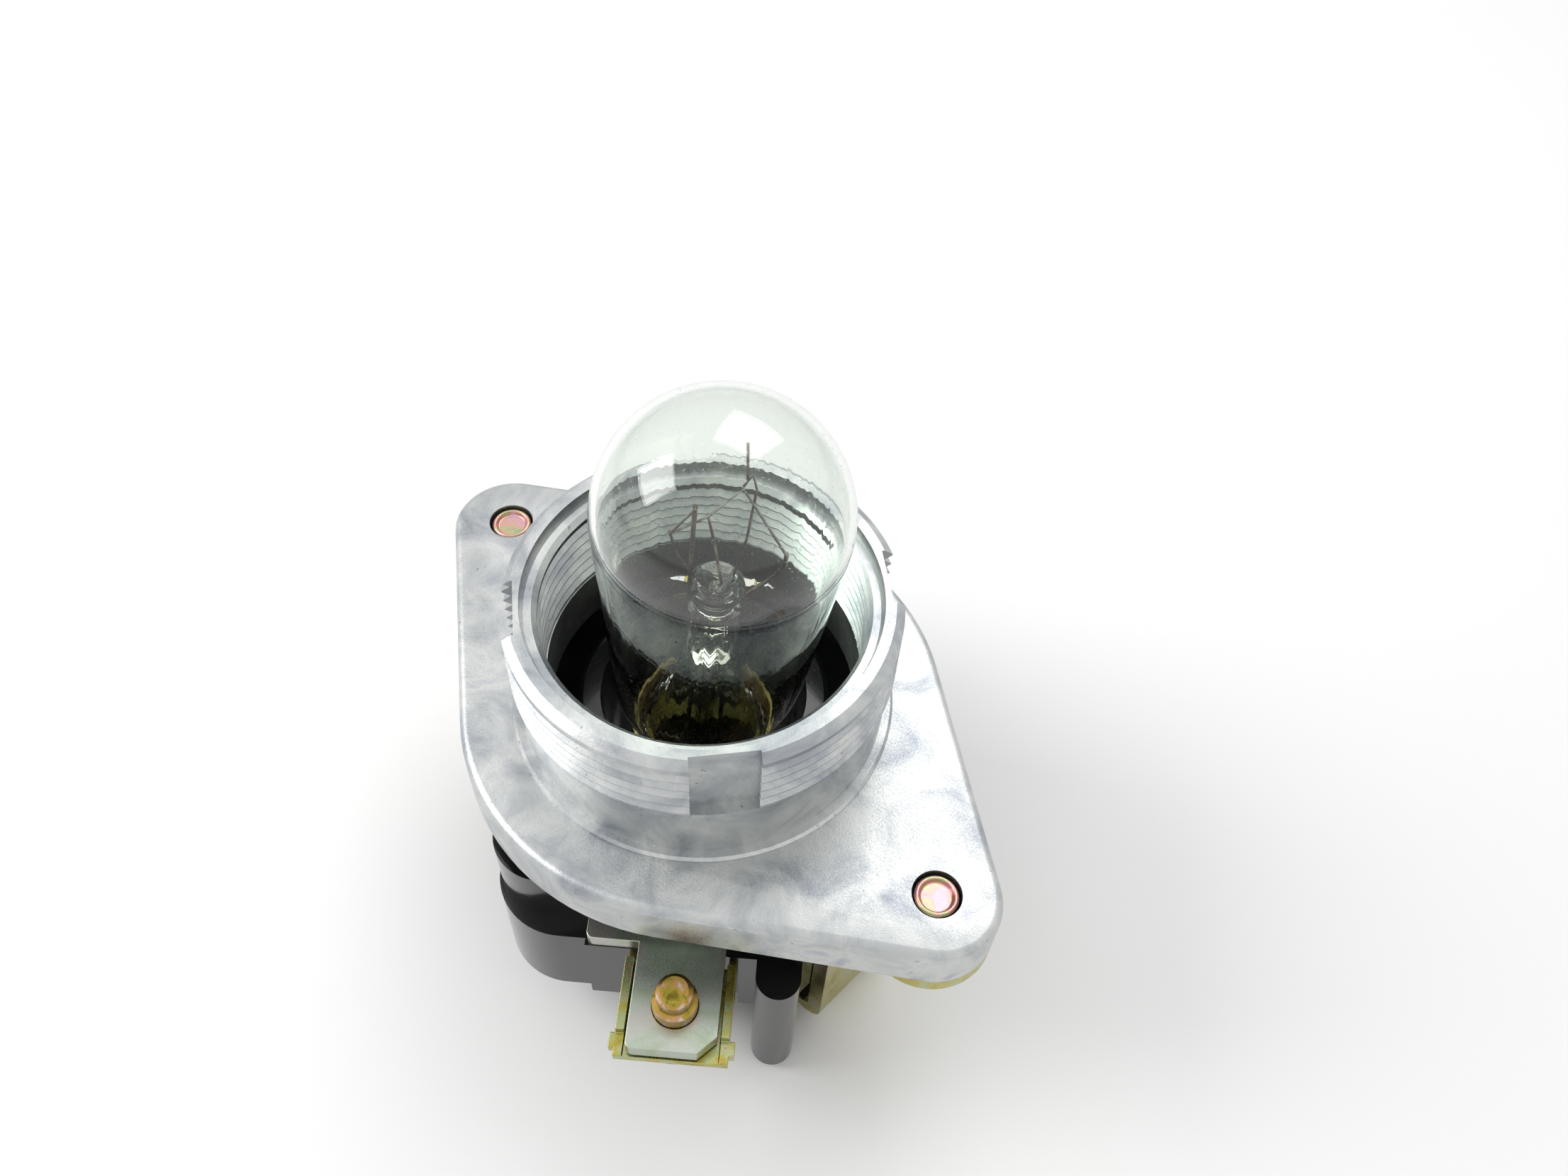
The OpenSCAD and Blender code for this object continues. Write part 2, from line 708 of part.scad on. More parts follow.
// Terminal screw, driven from below: slotted head, thread through the plate, plain tip.
module terminal_screw() {
    head_bottom = head_top - screw_head_height;
    tip_radius = screw_thread / 2 - 0.5;
    chamfer = 0.6 * screw_pitch;
    color(passivated) translate([plate_middle, -screw_reach, 0]) difference() {
        rotate_extrude($fn = 48) polygon([
            [0, head_bottom], [screw_head / 2 - 2 * chamfer, head_bottom],
            [screw_head / 2, head_bottom + 1.6 * chamfer], [screw_head / 2, head_top],
            [screw_thread / 2, head_top], [screw_thread / 2, thread_top - chamfer],
            [tip_radius, thread_top], [tip_radius, thread_top + screw_tip - chamfer],
            [tip_radius - chamfer, thread_top + screw_tip], [0, thread_top + screw_tip]
        ]);
        translate([-screw_head, -0.6, head_bottom - 1]) cube([2 * screw_head, 1.2, 2.2]);
    }
}

module terminal_screw_front() {
    rotate([0, 0, holder_turn]) terminal_screw();
}

module terminal_screw_rear() {
    rotate([0, 0, holder_turn + 180]) terminal_screw();
}

// Shoulder of the bulb from the neck to the seal, as radius and height, `t` running from 0 to 1.
function shoulder_point(t, inset) =
    let (ease = t * t * (3 - 2 * t))
    [neck_radius * (1 - ease) + seal_radius * ease - inset, neck_end + (seal_foot - neck_end) * t];

function shoulder_points(inset) =
    [for (i = [0 : shoulder_steps]) shoulder_point(i / shoulder_steps, inset)];

// Outside of the bulb with `inset` taken off all round: dome, tapered neck and shoulder.
function bulb_points(inset) =
    let (steps = 24, dome = bulb_radius - inset)
    concat(
        [for (i = [0 : steps]) let (a = 90 - (90 + neck_taper) * i / steps) [
            dome * cos(a),
            bulb_centre + dome * sin(a)
        ]],
        shoulder_points(inset)
    );

// The glass and all it carries lean together, about the middle of the seal.
module leaning() {
    rotate([0, 0, lamp_turn]) translate([0, 0, seal_foot]) rotate([0, glass_lean, 0])
        translate([0, 0, -seal_foot]) children();
}

// The same lean for one point of a wire.
function leaned(p) =
    let (rise = p.z - seal_foot)
    [
        p.x * cos(glass_lean) + rise * sin(glass_lean),
        p.y,
        seal_foot + rise * cos(glass_lean) - p.x * sin(glass_lean)
    ];

module bulb_glass() {
    outer = bulb_points(0);
    inner = bulb_points(glass_wall);
    last = len(inner) - 1;
    color(clear_glass) leaning() rotate_extrude($fn = 96)
        polygon(concat(outer, [for (i = [0 : last]) inner[last - i]]));
}

// Direction of a wire at its point `i`: along the chord of its neighbours.
function wire_heading(points, i) =
    let (run = points[min(i + 1, len(points) - 1)] - points[max(i - 1, 0)])
    run / norm(run);

// Ring of `wire_sides` points round the wire's point `i`, square to the wire.
function wire_ring(points, i, radius) =
    let (
        ahead = wire_heading(points, i),
        across = cross(ahead, [0.31, 0.87, 0.38]),
        u = across / norm(across),
        v = cross(ahead, u)
    )
    [for (k = [0 : wire_sides - 1])
        let (a = k * 360 / wire_sides) points[i] + radius * (u * cos(a) + v * sin(a))];

// Wire along a list of points, as one tube with flat ends.
module bent_wire(points, radius) {
    loft([for (i = [0 : len(points) - 1]) wire_ring(points, i, radius)]);
}

// Bends of the lamp's wires, from the button's top, for a bulb 13 mm in radius.
wire_unit = bulb_radius / 13;
function bends(points) = [for (p = points) leaned([0, 0, button_height] + wire_unit * p)];

// Crook over the filament's peak, its upright tail, and the two lower hooks.
crook = [[1.6, 0.3, -0.6], [2.65, 0.8, 5.2], [3.15, 1.7, 11.6], [2.65, 1.8, 13.5], [1.85, 1.8, 11.9]];
crook_tail = [[2.2, 1.8, 12.7], [1.8, 1.8, 17.7]];
middle_hook = [[0.6, -1.4, -0.9], [-0.55, 1.1, 4.2], [-1.4, 2, 7.5]];
side_hook = [[-2.2, 0, -0.7], [-4.4, 0.3, 3.4], [-5.1, 0.5, 6.5]];
lead_bends = [
    [[2, 0.5, -5], [3.9, 1, -3.6], [6, 0.4, -0.2], [6.8, 0, 2], [6.8, 0, 4.1]],
    [[-1.9, -0.5, -4.4], [-2.9, -1.6, -0.8], [-2.9, -1.5, 5.3], [-2.8, -1, 12]]
];

module support_wires_form() {
    for (wire = [crook, crook_tail, middle_hook, side_hook]) bent_wire(bends(wire), support_radius);
}

module support_wires() {
    color(nickel) rotate([0, 0, lamp_turn]) support_wires_form();
}

// One lead comes up from the solder contact, the other from the side of the cap under the cement.
module lead_wires_form() {
    side_run = cement_bottom - wire_diameter;
    starts = [
        [[wire_diameter, 0, cap_bottom + 0.02], [wire_diameter, 0, cap_bottom + 1.8],
            [2 * lead_spread, 0, cap_bottom + 5]],
        [[0.02 - skirt_inner, 0, side_run], [-lead_spread - 1, 0, side_run]]
    ];
    for (side = [0, 1]) {
        x = (1 - 2 * side) * lead_spread;
        rise = [leaned([x, 0, seal_foot]), leaned([x, 0, pinch_top - 1])];
        bent_wire(concat(starts[side], rise, bends(lead_bends[side])), wire_radius);
    }
}

module lead_wires() {
    color(nickel) rotate([0, 0, lamp_turn]) lead_wires_form();
}

// Coiled filament, laid against the front of each lead's tip and of each hook.
module filament() {
    beside = [0, -wire_radius - filament_diameter / 2, 0];
    tips = [for (wire = [lead_bends[0], crook, middle_hook, side_hook, lead_bends[1]])
        bends([wire[len(wire) - 1]])[0] + beside];
    color(nickel) rotate([0, 0, lamp_turn]) bent_wire(tips, filament_diameter / 2);
}

// Stem: a flare that seals the neck, the flat pinch round the leads, a rod and its button.
module stem_glass() {
    flare = seal_radius - glass_wall - eps;
    throat = pinch_width / 2 + 0.4;
    color(clear_glass) difference() {
        leaning() union() {
            rotate_extrude($fn = 48) polygon([
                [flare - flare_wall, seal_foot], [flare, seal_foot],
                [throat + 2, seal_foot + 2.6], [throat + 1, seal_foot + 6], [throat, pinch_bottom],
                [rod_radius, pinch_bottom + 3], [0, pinch_bottom + 3],
                [0, pinch_bottom], [throat - flare_wall - 1, pinch_bottom],
                [throat + 1 - flare_wall, seal_foot + 6], [throat + 2 - flare_wall, seal_foot + 2.6]
            ]);
            translate([0, 0, pinch_bottom + eps]) linear_extrude(pinch_top - pinch_bottom) {
                square([pinch_width - pinch_depth, pinch_depth], center = true);
                for (side = [-1, 1]) translate([side * (pinch_width - pinch_depth) / 2, 0])
                    circle(d = pinch_depth, $fn = 32);
            }
            rotate_extrude($fn = 48) polygon([
                [0, pinch_top - 1], [rod_radius, pinch_top - 1], [rod_radius, button_foot],
                [button_diameter / 2, button_waist], [button_diameter / 2 - 0.2, button_waist + 0.8],
                [button_face, button_height], [0, button_height]
            ]);
        }
        rotate([0, 0, lamp_turn]) {
            support_wires_form();
            lead_wires_form();
        }
    }
}

module exhaust_tube() {
    color(clear_glass) leaning() translate([0, 0, tube_foot]) difference() {
        cylinder(r = tube_radius, h = tube_top - tube_foot, $fn = 32);
        translate([0, 0, -1]) cylinder(r = tube_bore, h = tube_top - tube_foot + 2, $fn = 32);
    }
}

// Cement between the leaning neck and the cap.
module cap_cement() {
    color(cement_brown) difference() {
        translate([0, 0, cement_bottom]) difference() {
            cylinder(r = skirt_inner, h = -cap_top - cement_bottom, $fn = 96);
            translate([0, 0, -1]) cylinder(r = cement_inner, h = -cap_top - cement_bottom + 2, $fn = 96);
        }
        leaning() rotate_extrude($fn = 96)
            polygon(concat([[0, neck_end]], shoulder_points(0), [[0, seal_foot]]));
    }
}

module lamp_cap() {
    color(brass) rotate_extrude($fn = 96) polygon([
        [skirt_inner, -cap_top], [skirt_radius, -cap_top], [skirt_radius, skirt_bottom],
        [cap_radius, thread_shoulder], [cap_radius, cap_bottom], [cap_inner - 1, cap_bottom],
        [cap_inner - 1, cap_bottom + cap_wall], [cap_inner, cap_bottom + cap_wall],
        [cap_inner, thread_shoulder], [skirt_inner, skirt_bottom]
    ]);
}

module cap_insulator() {
    top = cap_inner - 1;
    color("black") rotate_extrude($fn = 64) polygon([
        [contact_diameter / 4, insulator_bottom], [contact_diameter / 2 + 0.4, insulator_bottom],
        [top, cap_bottom], [top, cap_bottom + 1.2], [contact_diameter / 4, cap_bottom + 1.2]
    ]);
}

module cap_contact() {
    color(nickel) rotate_extrude($fn = 48) polygon([
        [0, contact_bottom], [contact_diameter / 3, contact_bottom],
        [contact_diameter / 2, contact_bottom + contact_height / 2],
        [contact_diameter / 2, insulator_bottom],
        [contact_diameter / 4, insulator_bottom], [contact_diameter / 4, cap_bottom], [0, cap_bottom]
    ]);
}

flange_collar();
rivets();
bracket();
body_screws();
holder_body();
screw_shell();
contact_strip();
contact_rivet();
contact_leaf();
terminal_plate_front();
terminal_plate_rear();
clamp_front();
clamp_rear();
terminal_screw_front();
terminal_screw_rear();
bulb_glass();
stem_glass();
exhaust_tube();
lead_wires();
support_wires();
filament();
cap_cement();
lamp_cap();
cap_insulator();
cap_contact();
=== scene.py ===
import json
from math import pi, radians

import bmesh
import bpy
import numpy as np
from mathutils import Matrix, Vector


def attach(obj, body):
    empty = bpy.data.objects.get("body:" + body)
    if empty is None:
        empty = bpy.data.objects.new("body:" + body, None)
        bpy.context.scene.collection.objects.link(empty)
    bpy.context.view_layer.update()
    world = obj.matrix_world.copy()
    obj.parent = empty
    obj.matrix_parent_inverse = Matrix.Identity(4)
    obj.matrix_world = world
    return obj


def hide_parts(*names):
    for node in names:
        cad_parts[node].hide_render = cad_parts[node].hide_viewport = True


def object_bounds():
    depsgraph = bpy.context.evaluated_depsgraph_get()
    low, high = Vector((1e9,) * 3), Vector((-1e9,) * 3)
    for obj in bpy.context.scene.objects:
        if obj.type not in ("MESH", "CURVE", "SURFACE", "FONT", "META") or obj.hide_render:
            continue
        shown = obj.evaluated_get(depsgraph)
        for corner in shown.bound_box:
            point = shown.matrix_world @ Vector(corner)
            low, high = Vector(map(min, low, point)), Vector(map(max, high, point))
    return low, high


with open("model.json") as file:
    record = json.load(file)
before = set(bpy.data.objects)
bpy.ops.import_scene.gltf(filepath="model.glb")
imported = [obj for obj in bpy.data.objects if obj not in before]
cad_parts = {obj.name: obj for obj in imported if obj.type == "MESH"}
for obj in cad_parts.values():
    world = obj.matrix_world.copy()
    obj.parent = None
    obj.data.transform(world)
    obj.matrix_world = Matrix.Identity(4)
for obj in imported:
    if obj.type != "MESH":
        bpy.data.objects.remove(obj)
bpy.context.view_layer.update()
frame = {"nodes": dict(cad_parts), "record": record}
mm = 0.001  # metres in a millimetre
print("frame loaded")


def toLinear(hexColour):
    # sRGB channel c: c/12.92 up to 0.04045, above it ((c + 0.055)/1.055)^2.4
    channels = np.array([int(hexColour[i:i + 2], 16) for i in (1, 3, 5)]) / 255
    low, high = channels / 12.92, ((channels + 0.055) / 1.055) ** 2.4
    return (*np.where(channels <= 0.04045, low, high), 1.0)


def addNode(tree, kind, inputs=None, **settings):
    # an input is either another node's socket, which is linked, or a plain value
    node = tree.nodes.new(kind)
    for key, value in settings.items():
        setattr(node, key, value)
    for key, value in (inputs or {}).items():
        if isinstance(value, bpy.types.NodeSocket):
            tree.links.new(value, node.inputs[key])
        else:
            node.inputs[key].default_value = value
    return node


def newMaterial(name):
    material = bpy.data.materials.new(name)
    material.use_nodes = True
    material.node_tree.nodes.clear()
    return material, material.node_tree


pattern = {
    "noiseRoughness": 0.6,
    "patchDetail": 6.0, "patchDistortion": 0.6,
    "grainDetail": 3.0, "grainFrom": 0.3, "grainTo": 0.7,
    "pitDetail": 2.0, "pitFrom": 0.70, "pitTo": 0.76,  # only the noise's peaks are pits
}


def patternNoise(tree, place, sizeMm, detail, distortion=0.0):
    # one swell of the noise is about sizeMm across, so its scale is 1/size in metres
    return addNode(tree, "ShaderNodeTexNoise", {
        "Vector": place, "Scale": 1 / (sizeMm * mm), "Detail": detail,
        "Roughness": pattern["noiseRoughness"], "Distortion": distortion}).outputs["Fac"]


def toneRamp(tree, factor, tones):
    # tones is a list of (place on the ramp, hex colour)
    node = addNode(tree, "ShaderNodeValToRGB", {"Fac": factor})
    stops = node.color_ramp.elements
    while len(stops) < len(tones):
        stops.new(0.5)
    for stop, (place, tone) in zip(stops, tones):
        stop.position = place
        stop.color = toLinear(tone)
    return node.outputs["Color"]


def opaqueMaterial(name, look):
    # patches of tone, a fine grain in gloss and height, and sparse darker pits
    material, tree = newMaterial(name)
    place = addNode(tree, "ShaderNodeTexCoord").outputs["Object"]
    patches = patternNoise(tree, place, look["patchMm"], pattern["patchDetail"], pattern["patchDistortion"])
    grain = patternNoise(tree, place, look["grainMm"], pattern["grainDetail"])
    pits = patternNoise(tree, place, look["pitMm"], pattern["pitDetail"])
    pitMask = addNode(tree, "ShaderNodeMapRange", {
        "Value": pits, "From Min": pattern["pitFrom"], "From Max": pattern["pitTo"],
        "To Min": 0.0, "To Max": look["pitDepth"]}).outputs["Result"]
    colour = addNode(tree, "ShaderNodeMixRGB", {
        "Fac": pitMask, "Color1": toneRamp(tree, patches, look["tones"]),
        "Color2": toLinear(look["pitTone"])}).outputs["Color"]
    rough = addNode(tree, "ShaderNodeMapRange", {
        "Value": grain, "From Min": pattern["grainFrom"], "From Max": pattern["grainTo"],
        "To Min": look["rough"][0], "To Max": look["rough"][1]}).outputs["Result"]
    relief = addNode(tree, "ShaderNodeBump", {
        "Height": grain, "Strength": look["bump"], "Distance": look["bumpMm"] * mm}).outputs["Normal"]
    shader = addNode(tree, "ShaderNodeBsdfPrincipled", {
        "Base Color": colour, "Metallic": look["metallic"], "Roughness": rough,
        "Coat Weight": look.get("coat", 0.0), "Normal": relief})
    addNode(tree, "ShaderNodeOutputMaterial", {"Surface": shader.outputs["BSDF"]})
    return material


glassLook = {
    "ior": 1.5, "detail": 2.0,
    "waveStrength": 0.15, "waveMm": 0.05,  # height of the blown surface's waves
    "dustFrom": 0.66, "dustTo": 0.72, "dustRough": 0.35,
}


def clearGlass(name, look):
    # wavy, dusty glass; shadow rays pass straight through it with its tint, so what is inside stays lit
    material, tree = newMaterial(name)
    place = addNode(tree, "ShaderNodeTexCoord").outputs["Object"]
    waves = patternNoise(tree, place, look["waveMm"], glassLook["detail"])
    dust = patternNoise(tree, place, look["dustMm"], glassLook["detail"])
    relief = addNode(tree, "ShaderNodeBump", {
        "Height": waves, "Strength": glassLook["waveStrength"],
        "Distance": glassLook["waveMm"] * mm}).outputs["Normal"]
    rough = addNode(tree, "ShaderNodeMapRange", {
        "Value": dust, "From Min": glassLook["dustFrom"], "From Max": glassLook["dustTo"],
        "To Min": 0.0, "To Max": glassLook["dustRough"]}).outputs["Result"]
    glass = addNode(tree, "ShaderNodeBsdfPrincipled", {
        "Base Color": toLinear(look["tint"]), "Roughness": rough, "IOR": glassLook["ior"],
        "Transmission Weight": 1.0, "Normal": relief})
    clear = addNode(tree, "ShaderNodeBsdfTransparent", {"Color": toLinear(look["tint"])})
    rays = addNode(tree, "ShaderNodeLightPath")
    both = addNode(tree, "ShaderNodeMixShader", {
        0: rays.outputs["Is Shadow Ray"], 1: glass.outputs["BSDF"], 2: clear.outputs["BSDF"]})
    addNode(tree, "ShaderNodeOutputMaterial", {"Surface": both.outputs["Shader"]})
    return material


materials = {
    # die-cast zinc: satin grey with a sparkling grain, darker patches and small pits
    "cast_zinc": opaqueMaterial("dieCastZinc", {
        "tones": [(0.30, "#8f949c"), (0.48, "#b4b7b8"), (0.62, "#c8cac8"), (0.75, "#a9abb4")],
        "patchMm": 7.0, "grainMm": 0.22, "pitMm": 0.8, "pitDepth": 0.55, "pitTone": "#4c4e4a",
        "rough": (0.26, 0.5), "bump": 0.35, "bumpMm": 0.05, "metallic": 1.0}),
    # yellow-passivated rivet steel: pink and green drifts of the thin film
    "rivet_steel": opaqueMaterial("passivatedRivetSteel", {
        "tones": [(0.35, "#93a58a"), (0.46, "#b9b48a"), (0.55, "#d3a095"), (0.66, "#c9a7b6")],
        "patchMm": 2.2, "grainMm": 0.12, "pitMm": 0.5, "pitDepth": 0.4, "pitTone": "#50523a",
        "rough": (0.22, 0.42), "bump": 0.3, "bumpMm": 0.03, "metallic": 1.0}),
    # yellow-passivated sheet steel: olive gold with pink and green drifts
    "passivated_steel": opaqueMaterial("passivatedSheetSteel", {
        "tones": [(0.34, "#8f8a3e"), (0.46, "#b3a655"), (0.56, "#a9b487"), (0.66, "#c79a7e")],
        "patchMm": 3.5, "grainMm": 0.15, "pitMm": 0.6, "pitDepth": 0.4, "pitTone": "#4a4526",
        "rough": (0.2, 0.4), "bump": 0.2, "bumpMm": 0.02, "metallic": 1.0}),
    # moulded phenolic: glossy black with faint flow marks
    "phenolic": opaqueMaterial("mouldedPhenolic", {
        "tones": [(0.3, "#0b0b0c"), (0.7, "#171718")],
        "patchMm": 9.0, "grainMm": 0.6, "pitMm": 0.7, "pitDepth": 0.5, "pitTone": "#3a3a36",
        "rough": (0.1, 0.2), "bump": 0.06, "bumpMm": 0.03, "metallic": 0.0, "coat": 0.3}),
    # drawn brass shell: warm yellow, smooth, with small dark spots
    "shell_brass": opaqueMaterial("drawnShellBrass", {
        "tones": [(0.3, "#9d8240"), (0.7, "#c7ab64")],
        "patchMm": 4.0, "grainMm": 0.2, "pitMm": 0.6, "pitDepth": 0.5, "pitTone": "#54431f",
        "rough": (0.2, 0.38), "bump": 0.15, "bumpMm": 0.02, "metallic": 1.0}),
    # tinned brass strip: silver grey with a trace of green and pink
    "tinned_brass": opaqueMaterial("tinnedBrassStrip", {
        "tones": [(0.32, "#a3b096"), (0.5, "#b6bdb2"), (0.68, "#c3b9b4")],
        "patchMm": 4.5, "grainMm": 0.14, "pitMm": 0.5, "pitDepth": 0.35, "pitTone": "#5f6355",
        "rough": (0.24, 0.42), "bump": 0.2, "bumpMm": 0.02, "metallic": 1.0}),
    # rolled bronze leaf: reddish brown and even
    "leaf_bronze": opaqueMaterial("rolledBronze", {
        "tones": [(0.3, "#8a5f38"), (0.7, "#b5835a")],
        "patchMm": 3.0, "grainMm": 0.16, "pitMm": 0.5, "pitDepth": 0.4, "pitTone": "#3e2b19",
        "rough": (0.2, 0.4), "bump": 0.15, "bumpMm": 0.02, "metallic": 1.0}),
    # yellow-passivated screw steel: olive and orange, worn to silver in places
    "screw_steel": opaqueMaterial("passivatedScrewSteel", {
        "tones": [(0.34, "#6e6222"), (0.46, "#a3913c"), (0.56, "#b98a5a"), (0.68, "#c4bdb0")],
        "patchMm": 1.6, "grainMm": 0.12, "pitMm": 0.5, "pitDepth": 0.5, "pitTone": "#2f2a12",
        "rough": (0.2, 0.42), "bump": 0.3, "bumpMm": 0.03, "metallic": 1.0}),
    # blown soda-lime glass: clear with long waves and specks of dust
    "bulb_glass": clearGlass("blownClearGlass", {"tint": "#f6faf6", "waveMm": 9.0, "dustMm": 0.35}),
    # pressed lead glass: clear, a little yellow, with short waves
    "stem_glass": clearGlass("pressedStemGlass", {"tint": "#eef1e2", "waveMm": 2.0, "dustMm": 0.5}),
    # drawn nickel wire: dark, heat-stained brown and grey
    "nickel_wire": opaqueMaterial("drawnNickelWire", {
        "tones": [(0.35, "#3c2c24"), (0.5, "#5a4a42"), (0.66, "#8a7f76")],
        "patchMm": 2.5, "grainMm": 0.1, "pitMm": 0.4, "pitDepth": 0.5, "pitTone": "#6d3a20",
        "rough": (0.25, 0.45), "bump": 0.1, "bumpMm": 0.01, "metallic": 1.0}),
    # coiled tungsten: dull mid grey
    "tungsten": opaqueMaterial("coiledTungsten", {
        "tones": [(0.3, "#57534e"), (0.7, "#9a958e")],
        "patchMm": 1.5, "grainMm": 0.08, "pitMm": 0.3, "pitDepth": 0.3, "pitTone": "#33302c",
        "rough": (0.3, 0.5), "bump": 0.2, "bumpMm": 0.01, "metallic": 1.0}),
    # baked cement: brown and matt with pale crusts
    "cap_cement": opaqueMaterial("bakedCapCement", {
        "tones": [(0.34, "#4d3414"), (0.55, "#6b4a1f"), (0.68, "#8f7b5c"), (0.76, "#cfc8ba")],
        "patchMm": 3.0, "grainMm": 0.3, "pitMm": 0.5, "pitDepth": 0.5, "pitTone": "#2c1d0c",
        "rough": (0.6, 0.9), "bump": 0.6, "bumpMm": 0.12, "metallic": 0.0}),
    # drawn brass cap: pale yellow, slightly dulled
    "cap_brass": opaqueMaterial("drawnCapBrass", {
        "tones": [(0.3, "#94824a"), (0.55, "#b8a66a"), (0.7, "#c6bc98")],
        "patchMm": 3.5, "grainMm": 0.18, "pitMm": 0.5, "pitDepth": 0.4, "pitTone": "#4c4220",
        "rough": (0.2, 0.4), "bump": 0.15, "bumpMm": 0.02, "metallic": 1.0}),
    # pressed black glass: near black with a hard gloss
    "cap_glass": opaqueMaterial("pressedBlackGlass", {
        "tones": [(0.3, "#0c0c10"), (0.7, "#18181e")],
        "patchMm": 3.0, "grainMm": 0.4, "pitMm": 0.5, "pitDepth": 0.3, "pitTone": "#2c2c30",
        "rough": (0.06, 0.15), "bump": 0.05, "bumpMm": 0.02, "metallic": 0.0}),
    # wiped solder: soft grey and uneven
    "solder": opaqueMaterial("wipedSolder", {
        "tones": [(0.3, "#80807c"), (0.7, "#a8a8a4")],
        "patchMm": 1.5, "grainMm": 0.15, "pitMm": 0.4, "pitDepth": 0.4, "pitTone": "#4a4a46",
        "rough": (0.3, 0.55), "bump": 0.3, "bumpMm": 0.03, "metallic": 1.0}),
}
print("materials made")


def newPiece(name, vertices, faces):
    mesh = bpy.data.meshes.new(name)
    mesh.from_pydata(vertices, [], faces)
    mesh.update()
    piece = bpy.data.objects.new(name, mesh)
    bpy.context.scene.collection.objects.link(piece)
    return piece


merging = {"distance": 0.002 * mm, "flatDegrees": 0.3}


def mergedCopy(node, name):
    # the node's loose triangles joined at their corners, and its flat fields made whole faces again
    whole = bmesh.new()
    whole.from_mesh(frame["nodes"][node].data)
    bmesh.ops.remove_doubles(whole, verts=whole.verts, dist=merging["distance"])
    bmesh.ops.dissolve_limit(whole, angle_limit=radians(merging["flatDegrees"]),
                             verts=whole.verts, edges=whole.edges)
    whole.verts.index_update()
    vertices = [v.co[:] for v in whole.verts]
    faces = [[v.index for v in f.verts] for f in whole.faces]
    whole.free()
    return newPiece(name, vertices, faces)


collarThreads = {
    "pitch": 1.5, "stepsPerTurn": 160,
    "halfMouth": 0.47,  # half of the groove's mouth at full depth, as a share of the pitch
    "grooves": [
        {"bottom": 8.9, "top": 17.4, "depth": 0.92, "tip": 20.12, "mouth": 21.08},  # M42x1.5 outside
        {"bottom": 6.9, "top": 16.2, "depth": 0.81, "tip": 17.98, "mouth": 17.1},  # M36x1.5 inside
    ],
}


def helixCutter(name, threads, groove):
    # a three-cornered bar wound round the collar's axis: at angle t, corner k stands at radius r(k) and
    # at height bottom + pitch*t/2pi + rise(k)
    pitch, bottom, tip, mouth = threads["pitch"], groove["bottom"], groove["tip"], groove["mouth"]
    turns = (groove["top"] - bottom) / pitch
    t = np.linspace(0, 2 * pi * turns, int(threads["stepsPerTurn"] * turns))
    half = threads["halfMouth"]
    corners = np.array([[0.0, 0.0], [1.0, half], [1.0, -half]])  # the tip, then the mouth's two corners
    radius = tip + corners[:, 0] * (mouth - tip)
    rise = corners[:, 1] * pitch * abs(mouth - tip) / groove["depth"]
    z = bottom + pitch * t[:, None] / (2 * pi) + rise[None, :]
    x = radius[None, :] * np.cos(t)[:, None]
    y = radius[None, :] * np.sin(t)[:, None]
    vertices = np.stack([x, y, z], -1).reshape(-1, 3) * mm
    count = len(t)
    faces = [(3 * i + a, 3 * i + b, 3 * i + 3 + b, 3 * i + 3 + a)
             for i in range(count - 1) for a, b in ((0, 1), (1, 2), (2, 0))]
    faces += [(0, 2, 1), (3 * count - 3, 3 * count - 2, 3 * count - 1)]
    cutter = newPiece(name, vertices.tolist(), faces)
    shape = bmesh.new()
    shape.from_mesh(cutter.data)
    bmesh.ops.recalc_face_normals(shape, faces=shape.faces)
    shape.to_mesh(cutter.data)
    shape.free()
    return cutter


def cutThreads(piece, threads):
    for number, groove in enumerate(threads["grooves"]):
        cutter = helixCutter(f"{piece.name}_cutter_{number}", threads, groove)
        cut = piece.modifiers.new("groove", "BOOLEAN")
        cut.operation, cut.object, cut.solver = "DIFFERENCE", cutter, "EXACT"
        view = bpy.context.evaluated_depsgraph_get()
        finished = bpy.data.meshes.new_from_object(piece.evaluated_get(view))
        piece.modifiers.clear()
        piece.data = finished
        bpy.data.objects.remove(cutter)


looks = {
    "flange_collar": {"threads": collarThreads, "sharp": 30},
    "holder_body": {"bevelMm": 0.3},
    "bracket": {"bevelMm": 0.2},
    "rivets": {"bevelMm": 0.12},
    "terminal_plate_front": {"bevelMm": 0.2},
    "terminal_plate_rear": {"bevelMm": 0.2},
    "clamp_front": {"bevelMm": 0.1},
    "clamp_rear": {"bevelMm": 0.1},
    "bulb_glass": {"sharp": 60},
    "stem_glass": {"sharp": 50},
}
plainLook = {"sharp": 38}  # an edge sharper than this many degrees stays sharp
bevelling = {"segments": 2, "fromDegrees": 40}
slots = {row["node"]: row["material_slot"] for row in frame["record"]["subparts"]}
bodies = frame["record"]["behaviour"]["bodies"]


def dress(node):
    # a finished copy of the node, with threads or softened edges where its look asks for them
    look = {**plainLook, **looks.get(node, {})}
    piece = mergedCopy(node, node + "_piece")
    if "threads" in look:
        cutThreads(piece, look["threads"])
    piece.data.materials.clear()
    piece.data.materials.append(materials[slots[node]])
    piece.data.shade_smooth()
    piece.data.set_sharp_from_angle(angle=radians(look["sharp"]))
    if "bevelMm" in look:
        edge = piece.modifiers.new("edge", "BEVEL")
        edge.width, edge.segments = look["bevelMm"] * mm, bevelling["segments"]
        edge.limit_method, edge.angle_limit = "ANGLE", radians(bevelling["fromDegrees"])
        edge.harden_normals = True
    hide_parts(node)
    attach(piece, next(body for body, nodes in bodies.items() if node in nodes))


for node in sorted(slots):
    dress(node)
    print("piece", node)


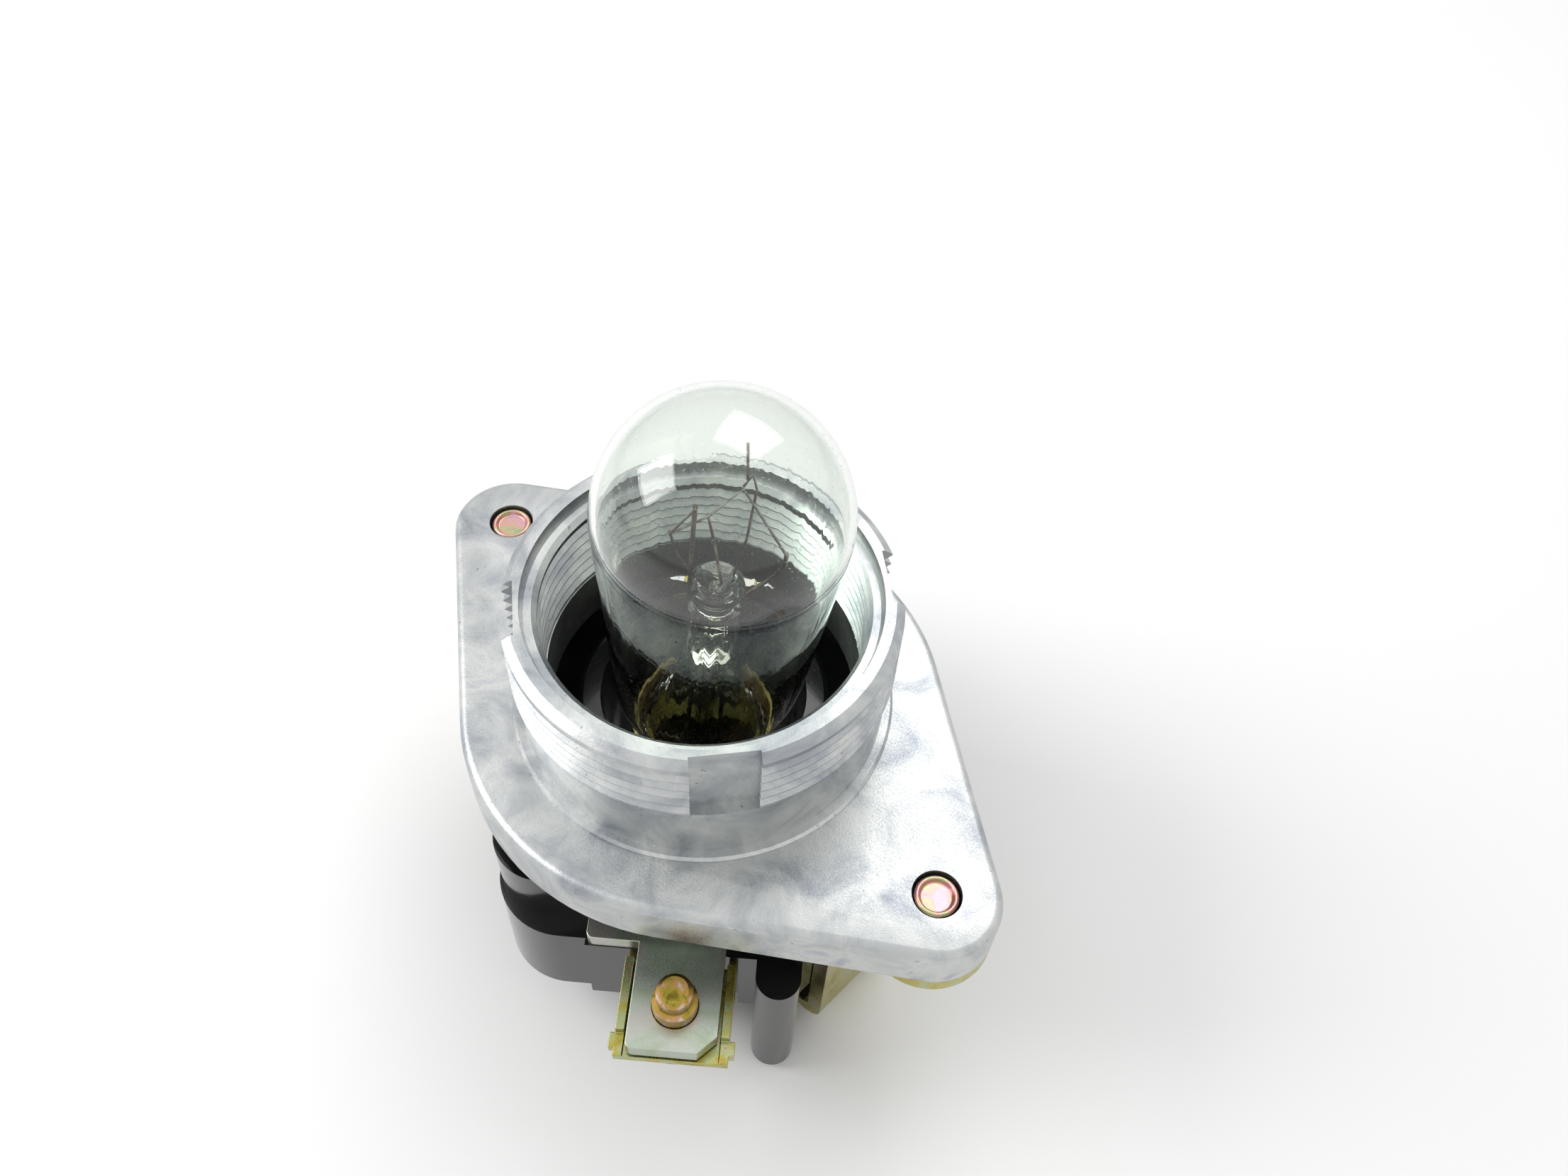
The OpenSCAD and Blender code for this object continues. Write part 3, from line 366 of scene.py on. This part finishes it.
studio = {"floorHalf": 3.0, "floorTone": "#f4f4f4", "skyLight": 0.7, "skySeen": 1.0}
half, floorHeight = studio["floorHalf"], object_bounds()[0][2]
floor = newPiece("floor", [(x, y, floorHeight) for x, y in
                           ((-half, -half), (half, -half), (half, half), (-half, half))], [(0, 1, 2, 3)])
floorMaterial, tree = newMaterial("paleStudioFloor")  # matt paint: keeps the object's soft shadow
paint = addNode(tree, "ShaderNodeBsdfDiffuse", {"Color": toLinear(studio["floorTone"])})
addNode(tree, "ShaderNodeOutputMaterial", {"Surface": paint.outputs["BSDF"]})
floor.data.materials.append(floorMaterial)

# the sky is white where the camera, a reflection or glass sees it, and dimmer as a light
world = bpy.data.worlds.new("studioSky")
bpy.context.scene.world = world
world.use_nodes = True
tree = world.node_tree
tree.nodes.clear()
rays = addNode(tree, "ShaderNodeLightPath").outputs
seen = addNode(tree, "ShaderNodeMath", {0: rays["Is Camera Ray"], 1: rays["Is Glossy Ray"]}, operation="ADD")
seen = addNode(tree, "ShaderNodeMath", {0: seen.outputs[0], 1: rays["Is Transmission Ray"]},
               operation="ADD", use_clamp=True)
strength = addNode(tree, "ShaderNodeMapRange", {
    "Value": seen.outputs[0], "To Min": studio["skyLight"], "To Max": studio["skySeen"]})
sky = addNode(tree, "ShaderNodeBackground", {"Color": (1, 1, 1, 1), "Strength": strength.outputs["Result"]})
addNode(tree, "ShaderNodeOutputWorld", {"Surface": sky.outputs["Background"]})

lamps = {  # places and sizes in metres
    "keyLeft": {"at": (-0.34, -0.30, 0.36), "watts": 1.8, "size": 0.30},
    "topBack": {"at": (-0.10, 0.30, 0.45), "watts": 0.8, "size": 0.35},
}
for name, lamp in lamps.items():
    light = bpy.data.lights.new(name, "AREA")
    light.energy, light.size = lamp["watts"], lamp["size"]
    lampObject = bpy.data.objects.new(name, light)
    bpy.context.scene.collection.objects.link(lampObject)
    lampObject.location = lamp["at"]
    lampObject.rotation_euler = (-Vector(lamp["at"])).to_track_quat("-Z", "Y").to_euler()

shot = {"atMm": (60.85, -56.94, 125.59), "turn": (38.04067, -2.54656, 44.45798),
        "lens": 30.17, "sensor": 36.0, "clipStart": 5 * mm}
camera = bpy.data.objects.new("camera", bpy.data.cameras.new("camera"))
bpy.context.scene.collection.objects.link(camera)
camera.data.sensor_fit, camera.data.sensor_width = "HORIZONTAL", shot["sensor"]
camera.data.lens, camera.data.clip_start = shot["lens"], shot["clipStart"]
camera.location = [v * mm for v in shot["atMm"]]
camera.rotation_euler = [radians(v) for v in shot["turn"]]
bpy.context.scene.camera = camera
bpy.context.scene.view_settings.view_transform = "Standard"
print("stage and camera set")
